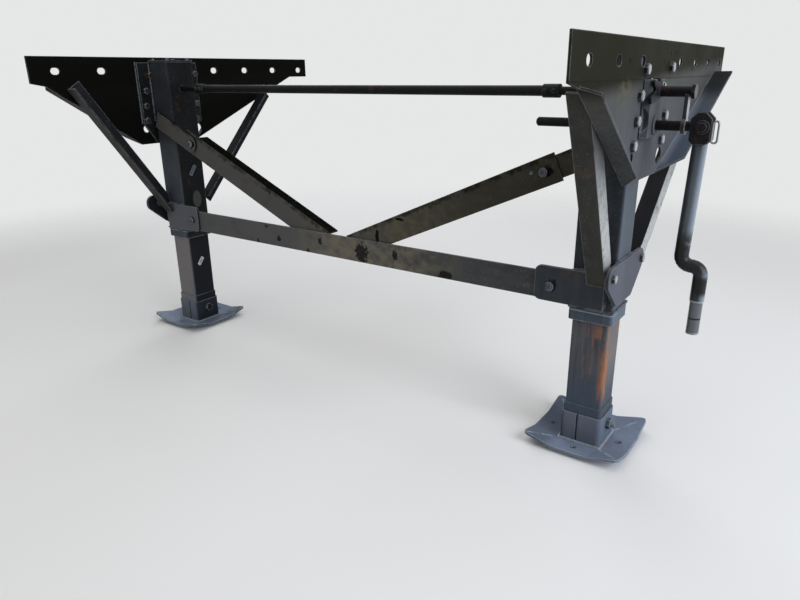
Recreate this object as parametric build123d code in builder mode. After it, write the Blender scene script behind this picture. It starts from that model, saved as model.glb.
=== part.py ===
from build123d import *
import os

os.makedirs("parts", exist_ok=True)

# Landing gear of a semi trailer: two telescoping legs on hanger plates, their braces,
# the shaft that joins them and the folding crank on the road side.
# The origin is on the floor under the road-side leg. +X points outboard from that leg,
# +Y to the trailer's rear and +Z up. The curb-side leg is the mirror image at -X.

# Legs: a square inner tube slides in a square outer tube
leg_spacing = 1816.0
outer_size = 120.0
outer_wall = 6.5
slide_gap = 1.5
inner_wall = 6.0
tube_corner = 9.0
slide_corner = 3.5
foot_corner = 4.5
tube_bottom = 392.0
tube_top = 1100.0
inner_top = 652.0
collar_lip = 3.0
collar_height = 38.0
cap_lip = 3.0
cap_thick = 8.0
cap_corner = 5.0

# Shoes: a dished plate with turned-up corners and a socket bolted round the leg's foot
pad_x = 282.0
pad_y = 282.0
pad_thick = 8.0
pad_corner_r = 16.0
pad_corner_rise = 34.0
pad_side_rise = 12.0
pad_side_flat = 100.0
pad_drain_r = 5.0
foot_wall = 3.0
foot_top = 128.0
socket_wall = 5.0
socket_height = 92.0
socket_slit = 6.0
socket_slit_x = -10.0
shoe_bolt_flats = 28.8
shoe_bolt_z = 66.0
shoe_bolt_head = 13.0

# Hanger plates and the back plates between them and the legs
back_thick = 11.0
plate_thick = 6.0
plate_rise = 20.0
plate_height = 336.0
plate_front = -532.0
plate_rear = 860.0
strip_front = 92.0
strip_rear = 82.0
slant_top = {"y": -479.0, "down": 103.0}
slant_low_y = -128.0
rear_slant_y = 140.0
rear_slant_slope = 0.4225
front_flange = 38.0
front_flange_cut = {"top": 22.0, "low": 52.0}
rear_flange = 55.0
rear_flange_run = 84.0
slot_down = 51.0
slot_first_y = -436.0
slot_pitch = 177.5
slot_length = 34.0
slot_height = 23.0
front_hole = {"y": -98.0, "up": 61.0, "r": 15.0}
rear_hole = {"y": 150.0, "up": 45.0, "r": 25.0}
hole_sides = 20
back_front = -113.0
back_rear = 171.0
back_up = 81.0
back_tip = 79.0

# Angle braces between each leg and its hanger plate
angle_face = 50.0
angle_side = 55.0
angle_thick = 6.0
front_brace_top = {"y": -404.0, "down": 115.0}
front_brace_foot = {"inset": 19.0, "up": 112.0}
rear_brace_top = {"y": 548.0, "down": 132.0}
rear_brace_foot_y = 126.0

# Gusset on the leg's outboard face that takes the lower ends of both braces
gusset_thick = 10.0
gusset_up = 60.0
gusset_height = 122.0
gusset_half = 150.0
gusset_edge = 48.0
gusset_low_half = 62.0
gusset_r = 30.0
gusset_bolt = {"y": -90.0, "down": 31.0}
spacer_r = 14.0

# Cross bar with its brackets, and the two diagonal braces above it
bar_up = 47.0
bar_height = 81.0
bar_thick = 6.0
bar_flange = 45.0
bar_gap = 2.0
bracket_thick = 10.0
bracket_reach = 102.0
bracket_inset = 23.0
bracket_lip = 2.5
bracket_height = 101.5
bracket_r = 18.0
diagonal_width = 80.0
diagonal_flange = 45.0
diagonal_bolt = {"out": 100.0, "up": 401.0}
diagonal_feet_apart = 110.0
diagonal_past_bolt = 42.0
diagonal_notch = 70.0
diagonal_foot_up = 47.0
strap_r = 32.0

# Shafts: the crank turns the cross shaft through a pair of gears behind the cover
shaft_down = 100.0
gear_spacing = 80.0
shaft_r = 14.0
stub_r = 11.0
coupling_r = 18.0
coupling_x = -178.0
coupling_length = 46.0
shaft_inside = 40.0
shaft_hole_gap = 1.5
crank_r = 12.0
crank_inner_end = -215.0
crank_end_edge = 4.0
crank_flat = 20.0
crank_flat_run = 40.0
crank_past_pin = 15.0
running_gap = 0.3

# Gearbox cover: it stands out through a window in both plates
housing_front = -64.0
housing_rear = 74.0
housing_under = 28.0
housing_over = 28.0
housing_gap = 2.0
housing_proud = 18.0
housing_round = 16.0
housing_edge = 14.0
housing_cut = {"run": 32.0, "rise": 13.0}
scallop = {"y": -85.0, "over": 15.0, "r": 37.0, "deep": 14.0}
boss_r = 24.0
boss_height = 6.0

# Support arm with its three-legged foot on the cover, and the link that hangs from it
arm_r = 12.5
arm_reach = 107.0
arm_head_r = 16.0
arm_head = 8.0
arm_foot_r = 18.0
arm_foot_thick = 8.0
arm_legs = (
    {"y": -50.0, "over": 20.0, "r": 7.0},
    {"y": -6.0, "over": 22.0, "r": 7.0},
    {"y": -66.0, "over": -18.0, "r": 9.0},
)
link_reach = 85.0
link_thick = 9.0
link_eye_r = 20.0
link_width = 22.0

# Folding crank handle
pin_reach = 135.0
pin_r = 7.0
pin_gap = 0.1
pin_past = 8.0
pin_head = 22.0
cheek_gap = 0.8
cheek_thick = 12.0
head_inner = 27.0
head_outer = 20.0
head_up = 34.0
head_down = 40.0
head_web = 11.0
head_corner = 9.0
head_shoulder = 15.0
handle_r = 17.5
elbow = {"x": -11.0, "down": 342.0, "r": 26.0}
knee = {"x": 41.0, "down": 345.0, "r": 22.0}
handle_end = {"x": 41.0, "down": 430.0}
bend_steps = 5
grip_r = 15.5
grip_length = 92.0
loop_wire = 5.0
loop_height = 55.0
loop_width = 18.0
loop_down = 38.0
loop_corner = 6.0

# Places that follow from the sizes above
half_outer = outer_size / 2
inner_size = outer_size - 2 * outer_wall - 2 * slide_gap
collar_size = outer_size + 2 * collar_lip
foot_size = inner_size + 2 * foot_wall
socket_size = foot_size + 2 * socket_wall
shaft_z = tube_top - shaft_down
crank_z = shaft_z - gear_spacing
plate_x = half_outer + back_thick
plate_out = plate_x + plate_thick
plate_top = tube_top + plate_rise
plate_low = plate_top - plate_height
rear_slant_end_y = rear_slant_y + (plate_height - strip_rear) / rear_slant_slope
housing_out = plate_out + housing_proud
housing_low = crank_z - housing_under
housing_top = shaft_z + housing_over
housing_middle = ((housing_front + housing_rear) / 2, (housing_low + housing_top) / 2)
window_size = (housing_rear - housing_front + 2 * housing_gap, housing_top - housing_low + 2 * housing_gap)
gusset_low = tube_bottom + gusset_up
gusset_top = gusset_low + gusset_height
gusset_bolt_z = gusset_top - gusset_bolt["down"]
bar_low = tube_bottom + bar_up
bar_back = -half_outer
bar_front = bar_back - bar_thick
bracket_low = bar_low - bracket_lip
bracket_inner = -half_outer - bracket_reach
bracket_outer = half_outer - bracket_inset
bracket_front = bar_front - bracket_thick
pin_x = plate_out + pin_reach
arm_end = plate_out + arm_reach
link_x = plate_out + link_reach
mid_plane = Plane.YZ.offset(-leg_spacing / 2)


def keep(piece, name):
    piece.part.label = name
    export_step(piece.part, f"parts/{name}.step")


def keep_pair(piece, name):
    keep(piece, name + "_road")
    with BuildPart() as twin:
        mirror(piece.part, about=mid_plane)
    keep(twin, name + "_curb")


# L section: one leg across the gear's leg, the other along its side
angle_outline = [
    (0, 0),
    (-angle_face, 0),
    (-angle_face, angle_thick),
    (-angle_thick, angle_thick),
    (-angle_thick, angle_side),
    (0, angle_side),
]


# Outer tubes, with the holes that the shafts pass through
for side in ("road", "curb"):
    with BuildPart() as outer_tube:
        with BuildSketch(Plane.XY.offset(tube_bottom)):
            RectangleRounded(outer_size, outer_size, tube_corner)
            Rectangle(outer_size - 2 * outer_wall, outer_size - 2 * outer_wall, mode=Mode.SUBTRACT)
        extrude(amount=tube_top - tube_bottom)
        with BuildSketch(Plane.YZ.offset(-half_outer)):
            with Locations((0, shaft_z)):
                Circle(stub_r + shaft_hole_gap)
        extrude(amount=outer_wall, mode=Mode.SUBTRACT)
        if side == "road":
            with BuildSketch(Plane.YZ.offset(-half_outer)):
                with Locations((0, crank_z)):
                    Circle(crank_r + shaft_hole_gap)
            extrude(amount=outer_size, mode=Mode.SUBTRACT)
    if side == "road":
        keep(outer_tube, "outer_tube_road")
    else:
        with BuildPart() as outer_tube_curb:
            mirror(outer_tube.part, about=mid_plane)
        keep(outer_tube_curb, "outer_tube_curb")

# Collar round the outer tube's mouth
with BuildPart() as collar:
    with BuildSketch(Plane.XY.offset(tube_bottom)):
        RectangleRounded(collar_size, collar_size, tube_corner + collar_lip)
    extrude(amount=collar_height)
    with BuildSketch(Plane.XY.offset(tube_bottom)):
        RectangleRounded(outer_size, outer_size, tube_corner)
    extrude(amount=collar_height, mode=Mode.SUBTRACT)
keep_pair(collar, "leg_collar")

# Cap on top of the leg
with BuildPart() as cap:
    with BuildSketch(Plane.XY.offset(tube_top)):
        lid = Rectangle(outer_size + 2 * cap_lip, outer_size + 2 * cap_lip)
        chamfer(lid.vertices(), cap_corner)
    extrude(amount=cap_thick)
keep_pair(cap, "top_cap")

# Inner tube, with the swaged foot that the shoe's socket closes round
with BuildPart() as inner_tube:
    with BuildSketch(Plane.XY.offset(pad_thick)):
        outline = Rectangle(inner_size, inner_size)
        chamfer(outline.vertices(), slide_corner)
    extrude(amount=inner_top - pad_thick)
    with BuildSketch(Plane.XY.offset(pad_thick)):
        outline = Rectangle(foot_size, foot_size)
        chamfer(outline.vertices(), foot_corner)
    extrude(amount=foot_top - pad_thick)
    with BuildSketch(Plane.XY.offset(pad_thick)):
        Rectangle(inner_size - 2 * inner_wall, inner_size - 2 * inner_wall)
    extrude(amount=inner_top - pad_thick, mode=Mode.SUBTRACT)
keep_pair(inner_tube, "inner_tube")

# Shoe plate: flat under the socket, its corners turned up along diagonal creases
sole = foot_size / 2 + socket_wall
side_flat = pad_side_flat / 2
with BuildPart() as shoe_pad:
    with BuildSketch(Plane.XY):
        Rectangle(2 * sole, 2 * sole)
    extrude(amount=pad_thick)
    for x_sign, y_sign in ((1, 1), (-1, 1), (-1, -1), (1, -1)):
        inner = Vector(x_sign * sole, y_sign * sole, 0)
        corner = Vector(x_sign * pad_x / 2, y_sign * pad_y / 2, pad_corner_rise)
        side_x = Vector(x_sign * pad_x / 2, y_sign * side_flat, pad_side_rise)
        side_y = Vector(x_sign * side_flat, y_sign * pad_y / 2, pad_side_rise)
        for middle in (side_x, side_y):
            extrude(Face(Wire.make_polygon([inner, corner, middle])), amount=pad_thick, dir=(0, 0, 1))
    for x_sign in (1, -1):
        foot = [(x_sign * sole, sole, 0), (x_sign * sole, -sole, 0)]
        rim = [(x_sign * pad_x / 2, -side_flat, pad_side_rise), (x_sign * pad_x / 2, side_flat, pad_side_rise)]
        extrude(Face(Wire.make_polygon(foot + rim)), amount=pad_thick, dir=(0, 0, 1))
    for y_sign in (1, -1):
        foot = [(sole, y_sign * sole, 0), (-sole, y_sign * sole, 0)]
        rim = [(-side_flat, y_sign * pad_y / 2, pad_side_rise), (side_flat, y_sign * pad_y / 2, pad_side_rise)]
        extrude(Face(Wire.make_polygon(foot + rim)), amount=pad_thick, dir=(0, 0, 1))
    with BuildSketch(Plane.XY):
        RectangleRounded(pad_x, pad_y, pad_corner_r)
    extrude(amount=pad_corner_rise + pad_thick, mode=Mode.INTERSECT)
    with BuildSketch(Plane.XY):
        with PolarLocations((sole + pad_x / 2) / 2, 4):
            RegularPolygon(pad_drain_r, 8)
    extrude(amount=pad_corner_rise + pad_thick, mode=Mode.SUBTRACT)
keep_pair(shoe_pad, "shoe_pad")

# Socket: a strap bent round the foot, its two ends a slit apart at the front
with BuildPart() as shoe_socket:
    with BuildSketch(Plane.XY.offset(pad_thick)):
        RectangleRounded(socket_size, socket_size, tube_corner + socket_wall)
        with Locations((socket_slit_x, -(foot_size + socket_wall) / 2)):
            Rectangle(socket_slit, 2 * socket_wall, mode=Mode.SUBTRACT)
    extrude(amount=socket_height)
    with BuildSketch(Plane.XY.offset(pad_thick)):
        outline = Rectangle(foot_size, foot_size)
        chamfer(outline.vertices(), foot_corner)
    extrude(amount=socket_height, mode=Mode.SUBTRACT)
keep_pair(shoe_socket, "shoe_socket")

# Bolt across the socket: its head inboard, its nut outboard. The shank between them is
# closed in, so it is left out.
with BuildPart() as shoe_bolt:
    for side in (-1, 1):
        with BuildSketch(Plane.YZ.offset(side * socket_size / 2)):
            with Locations((0, shoe_bolt_z)):
                RegularPolygon(shoe_bolt_flats / 2, 6, major_radius=False)
        extrude(amount=side * shoe_bolt_head)
keep_pair(shoe_bolt, "shoe_bolt")

# Back plates between leg and hanger plate; the road one is open for the gearbox
back_low = plate_low + back_up
for side in ("road", "curb"):
    with BuildPart() as back_plate:
        with BuildSketch(Plane.YZ.offset(half_outer)):
            with BuildLine():
                Polyline(
                    (back_front, tube_top),
                    (back_front, back_low),
                    (-half_outer, back_low - back_tip),
                    (half_outer, back_low - back_tip),
                    (back_rear, back_low),
                    (back_rear, tube_top),
                    close=True,
                )
            make_face()
            if side == "road":
                with Locations(housing_middle):
                    Rectangle(*window_size, mode=Mode.SUBTRACT)
        extrude(amount=back_thick)
    if side == "road":
        keep(back_plate, "back_plate_road")
    else:
        with BuildPart() as back_plate_curb:
            mirror(back_plate.part, about=mid_plane)
        keep(back_plate_curb, "back_plate_curb")

# Hanger plate: slotted strip on top, tapered below, both sloping edges bent outboard
slant_start = Vector(plate_x, slant_top["y"], plate_top - slant_top["down"])
slant = Vector(plate_x, slant_low_y, plate_low) - slant_start
rear_start = Vector(plate_x, rear_slant_y, plate_low)
rear_edge = Vector(plate_x, rear_slant_end_y, plate_top - strip_rear) - rear_start
with BuildPart() as hanger_plate:
    with BuildSketch(Plane.YZ.offset(plate_x)):
        with BuildLine():
            Polyline(
                (plate_front, plate_top),
                (plate_front, plate_top - strip_front),
                (slant_start.Y, slant_start.Z),
                (slant_low_y, plate_low),
                (rear_slant_y, plate_low),
                (rear_slant_end_y, plate_top - strip_rear),
                (plate_rear, plate_top - strip_rear),
                (plate_rear, plate_top),
                close=True,
            )
        make_face()
        with Locations(housing_middle):
            Rectangle(*window_size, mode=Mode.SUBTRACT)
        for hole in (front_hole, rear_hole):
            with Locations((hole["y"], plate_low + hole["up"])):
                RegularPolygon(hole["r"], hole_sides, mode=Mode.SUBTRACT)
        for place in (0, 1, 2, 4, 5, 6, 7):
            with Locations((slot_first_y + place * slot_pitch, plate_top - slot_down)):
                SlotOverall(slot_length, slot_height, mode=Mode.SUBTRACT)
    extrude(amount=plate_thick)
    with BuildSketch(Plane(slant_start, x_dir=slant, z_dir=slant.cross(Vector(1, 0, 0)))):
        with BuildLine():
            Polyline(
                (0, 0),
                (slant.length, 0),
                (slant.length, plate_thick),
                (slant.length - front_flange_cut["low"], plate_thick + front_flange),
                (front_flange_cut["top"], plate_thick + front_flange),
                (0, plate_thick),
                close=True,
            )
        make_face()
    extrude(amount=-plate_thick)
    with BuildSketch(Plane(rear_start, x_dir=rear_edge, z_dir=rear_edge.cross(Vector(1, 0, 0)))):
        with BuildLine():
            Polyline(
                (0, 0),
                (rear_edge.length, 0),
                (rear_edge.length, plate_thick + rear_flange),
                (rear_flange_run, plate_thick + rear_flange),
                (0, plate_thick),
                close=True,
            )
        make_face()
    extrude(amount=-plate_thick)
keep_pair(hanger_plate, "hanger_plate")

# Lower bracket on the leg's front face; the cross bar ends behind it
with BuildPart() as lower_bracket:
    with BuildSketch(Plane.XZ.offset(-bar_front)):
        with Locations(((bracket_inner + bracket_outer) / 2, bracket_low + bracket_height / 2)):
            outline = Rectangle(bracket_outer - bracket_inner, bracket_height)
        fillet(outline.vertices().sort_by(Axis.X)[:2], bracket_r)
    extrude(amount=bracket_thick)
    with BuildSketch(Plane.XZ.offset(-bar_back)):
        with Locations(((bracket_outer - half_outer) / 2, bracket_low + bracket_height / 2)):
            Rectangle(bracket_outer + half_outer, bracket_height)
    extrude(amount=bar_thick)
keep_pair(lower_bracket, "lower_bracket")

# Front brace: it leans inboard on its way down to the lower bracket's face
front_foot_y = bracket_front - angle_thick
front_foot_x = half_outer - front_brace_foot["inset"]
front_foot = Vector(front_foot_x, front_foot_y, tube_bottom + front_brace_foot["up"])
front_top = Vector(plate_x, front_brace_top["y"], plate_top - front_brace_top["down"])
with BuildPart() as front_brace:
    run = front_top - front_foot
    with BuildSketch(Plane(front_foot, x_dir=Vector(1, 0, 0), z_dir=run)):
        with BuildLine():
            Polyline(*angle_outline, close=True)
        make_face()
    extrude(amount=run.length)
    with Locations((0, 0, front_foot.Z)):
        Box(outer_size, outer_size, 2 * outer_size, mode=Mode.SUBTRACT)
    add(lower_bracket.part, mode=Mode.SUBTRACT)
keep_pair(front_brace, "front_brace")

# Rear brace: straight down the gusset's inner face
rear_foot = Vector(half_outer, rear_brace_foot_y, gusset_bolt_z)
rear_top = Vector(plate_x, rear_brace_top["y"], plate_top - rear_brace_top["down"])
with BuildPart() as rear_brace:
    run = rear_top - rear_foot
    with BuildSketch(Plane(rear_foot, x_dir=Vector(1, 0, 0), z_dir=run)):
        with BuildLine():
            Polyline(*angle_outline, close=True)
        make_face()
    extrude(amount=run.length)
    with Locations((half_outer + gusset_thick / 2, 0, gusset_top - outer_size / 2)):
        Box(gusset_thick, 4 * outer_size, outer_size, mode=Mode.SUBTRACT)
keep_pair(rear_brace, "rear_brace")

# Gusset plate, with the spacer that reaches the leaning front brace
with BuildPart() as brace_gusset:
    with BuildSketch(Plane.YZ.offset(half_outer)):
        with BuildLine():
            Polyline(
                (-gusset_half, gusset_top),
                (gusset_half, gusset_top),
                (gusset_half, gusset_top - gusset_edge),
                (gusset_low_half, gusset_low),
                (-gusset_low_half, gusset_low),
                (-gusset_half, gusset_top - gusset_edge),
                close=True,
            )
        outline = make_face()
        fillet(outline.vertices(), gusset_r)
    extrude(amount=gusset_thick)
    lean = (front_top - front_foot).normalized()
    brace_x = front_foot.X + (gusset_bolt_z - front_foot.Z) * lean.X / lean.Z
    with BuildSketch(Plane.YZ.offset(half_outer)):
        with Locations((gusset_bolt["y"], gusset_bolt_z)):
            Circle(spacer_r)
    extrude(amount=brace_x - half_outer - angle_thick / 2)
    add(front_brace.part, mode=Mode.SUBTRACT)
keep_pair(brace_gusset, "brace_gusset")

# Cross bar: an angle, its lower leg turned to the rear
bar_start = -half_outer - bar_gap
bar_end = -leg_spacing + half_outer + bar_gap
with BuildPart() as cross_bar:
    with BuildSketch(Plane.YZ.offset(bar_end)):
        with BuildLine():
            Polyline(
                (bar_front, bar_low),
                (bar_front + bar_flange, bar_low),
                (bar_front + bar_flange, bar_low + bar_thick),
                (bar_back, bar_low + bar_thick),
                (bar_back, bar_low + bar_height),
                (bar_front, bar_low + bar_height),
                close=True,
            )
        make_face()
    extrude(amount=bar_start - bar_end)
keep(cross_bar, "cross_bar")

# Diagonal braces behind the bar, each with its leg turned to the rear along the top
# and cut back where the web laps its bracket
diagonal_bolt_at = Vector(-half_outer - diagonal_bolt["out"], bar_back, tube_bottom + diagonal_bolt["up"])
diagonal_foot = Vector((diagonal_feet_apart - leg_spacing) / 2, bar_back, bar_low + diagonal_foot_up)
diagonal_dir = (diagonal_bolt_at - diagonal_foot).normalized()
diagonal_top = diagonal_bolt_at + diagonal_dir * diagonal_past_bolt
diagonal_run = (diagonal_top - diagonal_foot).length
with BuildPart() as diagonal:
    with BuildSketch(Plane(diagonal_top, x_dir=Vector(0, 1, 0), z_dir=diagonal_dir * -1)):
        with Locations((bar_thick / 2, 0)):
            Rectangle(bar_thick, diagonal_width)
    extrude(amount=diagonal_run)
    notch_end = diagonal_top - diagonal_dir * diagonal_notch
    with BuildSketch(Plane(notch_end, x_dir=Vector(0, 1, 0), z_dir=diagonal_dir * -1)):
        with Locations((diagonal_flange / 2, (bar_thick - diagonal_width) / 2)):
            Rectangle(diagonal_flange, bar_thick)
    extrude(amount=diagonal_run - diagonal_notch)
keep_pair(diagonal, "diagonal_brace")

# Upper brackets, a strap with a round end at each diagonal's bolt. The road one lies behind
# the diagonal and butts the leg's inboard face; the curb one lies in front of it and laps
# the leg's front face.
strap_end = Vector(diagonal_bolt_at.X, diagonal_bolt_at.Z)
strap_dir = Vector(diagonal_dir.X, diagonal_dir.Z)
strap_side = Vector(-strap_dir.Y, strap_dir.X) * strap_r
strap_root = strap_end + strap_dir * ((half_outer - tube_corner + strap_side.X - strap_end.X) / strap_dir.X)
with BuildSketch() as strap:
    with BuildLine():
        Line(strap_root + strap_side, strap_end + strap_side)
        ThreePointArc(strap_end + strap_side, strap_end - strap_dir * strap_r, strap_end - strap_side)
        Line(strap_end - strap_side, strap_root - strap_side)
        Line(strap_root - strap_side, strap_root + strap_side)
    make_face()
with BuildPart() as upper_bracket_road:
    with BuildSketch(Plane.XZ.offset(-bar_back - bar_thick - bracket_thick)):
        add(strap.sketch)
    extrude(amount=bracket_thick)
    with BuildSketch(Plane.XY.offset(tube_bottom)):
        Rectangle(outer_size, outer_size)
    extrude(amount=tube_top - tube_bottom, mode=Mode.SUBTRACT)
keep(upper_bracket_road, "upper_bracket_road")
with BuildPart() as upper_bracket:
    with BuildSketch(Plane.XZ.offset(-bar_back)):
        add(strap.sketch)
    extrude(amount=bracket_thick)
with BuildPart() as upper_bracket_curb:
    mirror(upper_bracket.part, about=mid_plane)
keep(upper_bracket_curb, "upper_bracket_curb")

# Cross shaft: a tube between two couplings, a stub from each into its leg
with BuildPart() as cross_shaft:
    shaft_start = Plane.YZ.offset(-leg_spacing + half_outer - shaft_inside)
    with BuildSketch(shaft_start):
        with Locations((0, shaft_z)):
            Circle(stub_r)
    extrude(amount=leg_spacing - outer_size + 2 * shaft_inside)
    with BuildSketch(Plane.YZ.offset(-leg_spacing - coupling_x)):
        with Locations((0, shaft_z)):
            Circle(shaft_r)
    extrude(amount=leg_spacing + 2 * coupling_x)
    for middle in (coupling_x, -leg_spacing - coupling_x):
        with BuildSketch(Plane.YZ.offset(middle - coupling_length / 2)):
            with Locations((0, shaft_z)):
                Circle(coupling_r)
        extrude(amount=coupling_length)
keep(cross_shaft, "cross_shaft")

# Gearbox cover: rounded at the rear, its lower rear corner cut off, and scalloped round
# the plate's bolt
with BuildPart() as gearbox_cover:
    with BuildSketch(Plane.YZ.offset(half_outer)):
        with BuildLine():
            Polyline(
                (housing_front, housing_top),
                (housing_front, housing_low),
                (housing_rear - housing_cut["run"], housing_low),
                (housing_rear, housing_low + housing_cut["rise"]),
                (housing_rear, housing_top),
                close=True,
            )
        make_face()
    extrude(amount=housing_out - half_outer)
    outer_face = gearbox_cover.faces().sort_by(Axis.X)[-1]
    fillet(outer_face.edges().filter_by(Axis.Z).sort_by(Axis.Y)[-1], housing_round)
    outer_face = gearbox_cover.faces().sort_by(Axis.X)[-1]
    chamfer(outer_face.edges().sort_by(Axis.Y)[0], housing_edge)
    with BuildSketch(Plane.YZ.offset(housing_out)):
        with Locations((0, crank_z)):
            Circle(boss_r)
    extrude(amount=boss_height)
    with BuildSketch(Plane.YZ.offset(housing_out)):
        with Locations((scallop["y"], crank_z + scallop["over"])):
            Circle(scallop["r"])
    extrude(amount=-scallop["deep"], mode=Mode.SUBTRACT)
    with BuildSketch(Plane.YZ.offset(half_outer)):
        with Locations((0, crank_z)):
            Circle(crank_r + running_gap)
    extrude(amount=housing_out - half_outer + boss_height, mode=Mode.SUBTRACT)
keep(gearbox_cover, "gearbox_cover")

# Support arm: three short legs on the cover, a round arm and the bolt head on its end
with BuildPart() as support_arm:
    for leg in arm_legs:
        with BuildSketch(Plane.YZ.offset(housing_out)):
            with Locations((0, shaft_z)):
                Circle(arm_foot_r)
            with Locations((leg["y"], shaft_z + leg["over"])):
                Circle(leg["r"])
            make_hull()
        extrude(amount=arm_foot_thick)
    with BuildSketch(Plane.YZ.offset(housing_out)):
        with Locations((0, shaft_z)):
            Circle(arm_r)
    extrude(amount=arm_end - arm_head - housing_out)
    with BuildSketch(Plane.YZ.offset(arm_end - arm_head)):
        with Locations((0, shaft_z)):
            RegularPolygon(arm_head_r, 6, major_radius=False)
    extrude(amount=arm_head)
keep(support_arm, "support_arm")

# Link that hangs from the arm and rings the crank shaft
with BuildPart() as support_link:
    with BuildSketch(Plane.YZ.offset(link_x)):
        with Locations((0, (shaft_z + crank_z) / 2)):
            Rectangle(link_width, gear_spacing)
        with Locations((0, crank_z)):
            Circle(link_eye_r)
            Circle(crank_r + running_gap, mode=Mode.SUBTRACT)
    extrude(amount=link_thick)
    add(support_arm.part, mode=Mode.SUBTRACT)
keep(support_link, "support_link")

# Crank shaft, flattened where the folding handle straddles it
with BuildPart() as crank_shaft:
    with BuildSketch(Plane.YZ.offset(crank_inner_end)):
        with Locations((0, crank_z)):
            Circle(crank_r)
    extrude(amount=pin_x + crank_past_pin - crank_inner_end)
    chamfer(crank_shaft.edges().filter_by(GeomType.CIRCLE), crank_end_edge)
    for y_sign in (1, -1):
        with BuildSketch(Plane.YZ.offset(pin_x - crank_flat_run)):
            with Locations((y_sign * (crank_flat / 2 + crank_r), crank_z)):
                Rectangle(2 * crank_r, 4 * crank_r)
        extrude(amount=pin_x, mode=Mode.SUBTRACT)
    with BuildSketch(Plane.XZ):
        with Locations((pin_x, crank_z)):
            Circle(pin_r + pin_gap)
    extrude(amount=crank_r, both=True, mode=Mode.SUBTRACT)
keep(crank_shaft, "crank_shaft")

# Handle head: two cheeks with sloping shoulders over the shaft's flat end, and the web
# that joins them below
cheek_inner = crank_flat / 2 + cheek_gap
cheek_outer = cheek_inner + cheek_thick
head_width = head_inner + head_outer
head_bottom = crank_z - head_down
with BuildPart() as handle_head:
    with BuildSketch(Plane.XZ.offset(-cheek_outer)):
        with BuildLine():
            Polyline(
                (pin_x - head_inner + head_corner, head_bottom),
                (pin_x - head_inner, head_bottom + head_corner),
                (pin_x - head_inner, crank_z + head_up - head_shoulder),
                (pin_x - head_inner + head_shoulder, crank_z + head_up),
                (pin_x + head_outer - head_shoulder, crank_z + head_up),
                (pin_x + head_outer, crank_z + head_up - head_shoulder),
                (pin_x + head_outer, head_bottom + head_corner),
                (pin_x + head_outer - head_corner, head_bottom),
                close=True,
            )
        make_face()
    extrude(amount=2 * cheek_outer)
    with BuildSketch(Plane.XZ.offset(-cheek_inner)):
        with Locations((pin_x, head_bottom + head_web)):
            Rectangle(2 * head_width, head_up + head_down, align=(Align.CENTER, Align.MIN))
    extrude(amount=2 * cheek_inner, mode=Mode.SUBTRACT)
    with BuildSketch(Plane.XZ):
        with Locations((pin_x, crank_z)):
            Circle(pin_r)
    extrude(amount=cheek_outer, both=True, mode=Mode.SUBTRACT)
keep(handle_head, "handle_head")

# Bolt through the head that the handle folds on
with BuildPart() as handle_pin:
    with BuildSketch(Plane.XZ):
        with Locations((pin_x, crank_z)):
            Circle(pin_r)
    extrude(amount=cheek_outer, both=True)
    for y_sign in (1, -1):
        with BuildSketch(Plane.XZ.offset(y_sign * cheek_outer)):
            with Locations((pin_x, crank_z)):
                RegularPolygon(pin_head / 2, 6, major_radius=False)
        extrude(amount=y_sign * pin_past)
keep(handle_pin, "handle_pin")

# Handle: a bent tube, straight down, out over the elbow and down again to the grip. Each
# bend is laid in short straight steps.
head_middle = pin_x + (head_outer - head_inner) / 2
with BuildLine() as handle_line:
    FilletPolyline(
        (head_middle, 0, head_bottom + handle_r / 10),
        (pin_x + elbow["x"], 0, crank_z - elbow["down"]),
        (pin_x + knee["x"], 0, crank_z - knee["down"]),
        (pin_x + handle_end["x"], 0, crank_z - handle_end["down"]),
        radius=[elbow["r"], knee["r"]],
    )
bends = [edge for edge in handle_line.edges() if edge.geom_type == GeomType.CIRCLE]
bend_points = [bend @ (step / bend_steps) for bend in bends for step in range(bend_steps + 1)]
with BuildPart() as handle_tube:
    with BuildLine() as handle_path:
        Polyline(handle_line.line @ 0, *bend_points, handle_line.line @ 1)
    with BuildSketch(Plane(handle_path.line @ 0, z_dir=handle_path.line % 0)):
        Circle(handle_r)
    sweep(transition=Transition.RIGHT)
    add(handle_head.part, mode=Mode.SUBTRACT)
keep(handle_tube, "handle_tube")

# Grip: a sleeve on the tube's lower end
grip_start = handle_path.line @ 1
grip_dir = handle_path.line % 1
with BuildPart() as handle_grip:
    with BuildSketch(Plane(grip_start, z_dir=grip_dir)):
        Circle(grip_r)
    extrude(amount=grip_length)
keep(handle_grip, "handle_grip")

# Loop on the head's outboard edge, for the hook that stows the handle
loop_y = (cheek_inner + cheek_outer) / 2
loop_middle = (pin_x + head_outer + loop_width / 2, crank_z - loop_down + loop_height / 2)
with BuildPart() as stow_loop:
    for inset, corner, mode in ((0, loop_corner, Mode.ADD), (loop_wire, loop_corner / 2, Mode.SUBTRACT)):
        with BuildSketch(Plane.XZ.offset(loop_y - loop_wire / 2)):
            with Locations(loop_middle):
                link = Rectangle(loop_width - 2 * inset, loop_height - 2 * inset)
            chamfer(link.vertices(), corner)
        extrude(amount=loop_wire, mode=mode)
keep(stow_loop, "stow_loop")
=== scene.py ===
import math

import bmesh
import bpy
from mathutils import Matrix, Vector


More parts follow.
